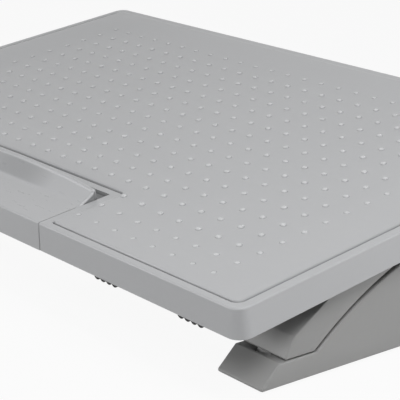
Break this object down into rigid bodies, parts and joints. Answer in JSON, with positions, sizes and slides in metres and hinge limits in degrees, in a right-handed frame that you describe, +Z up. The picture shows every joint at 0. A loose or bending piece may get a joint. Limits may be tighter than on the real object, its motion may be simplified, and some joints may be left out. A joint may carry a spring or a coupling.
{
  "type": "under-desk footrest",
  "caption": "Low under-desk footrest: a dotted plastic deck hinged at the toes of two hollow legs, with a foot pedal in its front edge that frees the tilt.",
  "frame": {"origin": "centre of the bounding box in X and Y, on the floor under the rubber feet", "axes": "+X to the right across the width as a seated user sees it, +Y towards the high rear edge, +Z up"},
  "size_m": [0.5568, 0.3555, 0.121],
  "materials": {
    "grey_plastic": "fine satin texture, cool light grey",
    "leg_plastic": "fine satin texture, warm mid grey",
    "dark_rubber": "matte, near black",
    "steel": "zinc plated, dull",
    "spring_steel": "drawn wire, dark",
    "black_plastic": "matte black"
  },
  "bodies": {
    "base": {"leg_left": "leg_plastic", "leg_right": "leg_plastic", "leg_plate_left": "black_plastic", "leg_plate_right": "black_plastic", "rubber_foot_left_front": "dark_rubber", "rubber_foot_left_rear": "dark_rubber", "rubber_foot_right_front": "dark_rubber", "rubber_foot_right_rear": "dark_rubber", "pivot_pin_left": "steel", "pivot_pin_right": "steel", "cross_tube_front": "steel", "cross_tube_rear": "steel", "brake_quadrant_left": "steel", "brake_quadrant_right": "steel", "plate_screw_left_1": "steel", "plate_screw_left_2": "steel", "plate_screw_right_1": "steel", "plate_screw_right_2": "steel", "quadrant_screw_left_1": "steel", "quadrant_screw_left_2": "steel", "quadrant_screw_right_1": "steel", "quadrant_screw_right_2": "steel"},
    "deck": {"deck": "grey_plastic", "deck_arm_left": "leg_plastic", "deck_arm_right": "leg_plastic", "front_bumper_left_inner": "dark_rubber", "front_bumper_left_outer": "dark_rubber", "front_bumper_right_inner": "dark_rubber", "front_bumper_right_outer": "dark_rubber", "arm_screw_left_1": "steel", "arm_screw_left_2": "steel", "arm_screw_right_1": "steel", "arm_screw_right_2": "steel", "shaft_cap_left": "black_plastic", "shaft_cap_right": "black_plastic", "cap_screw_left_1": "steel", "cap_screw_left_2": "steel", "cap_screw_right_1": "steel", "cap_screw_right_2": "steel", "pedal_pin_left": "steel", "pedal_pin_right": "steel", "return_spring": "spring_steel"},
    "pedal": {"pedal": "grey_plastic"},
    "link": {"pull_link": "steel", "link_pin_front": "steel", "link_pin_rear": "steel"},
    "brake": {"brake_shaft": "steel", "release_lever": "black_plastic", "brake_arm_left": "steel", "brake_arm_right": "steel", "brake_pad_left": "dark_rubber", "brake_pad_right": "dark_rubber"}
  },
  "joints": [
    {"name": "deck_tilt", "type": "hinge", "parent": "base", "child": "deck", "pos_m": [0, -0.1297, 0.009], "axis": [1, 0, 0], "range_deg": [0, 20]},
    {"name": "pedal_press", "type": "hinge", "parent": "deck", "child": "pedal", "pos_m": [0, -0.17003, 0.05278], "axis": [1, 0, 0], "range_deg": [-12, 0], "stiffness_Nm_per_rad": 2.5, "springref_deg": 6.88},
    {"name": "link_slide", "type": "slide", "parent": "deck", "child": "link", "axis": [0, 0.9967, 0.0815], "range_m": [-0.00168, 0]},
    {"name": "brake_turn", "type": "hinge", "parent": "deck", "child": "brake", "pos_m": [0, 0.00012, 0.07613], "axis": [1, 0, 0], "range_deg": [-5.55, 0]}
  ],
  "couplings": [
    {"joint": "link_slide", "follows": "pedal_press", "m_per_rad": 0.00797},
    {"joint": "brake_turn", "follows": "pedal_press", "ratio": 0.4585}
  ]
}
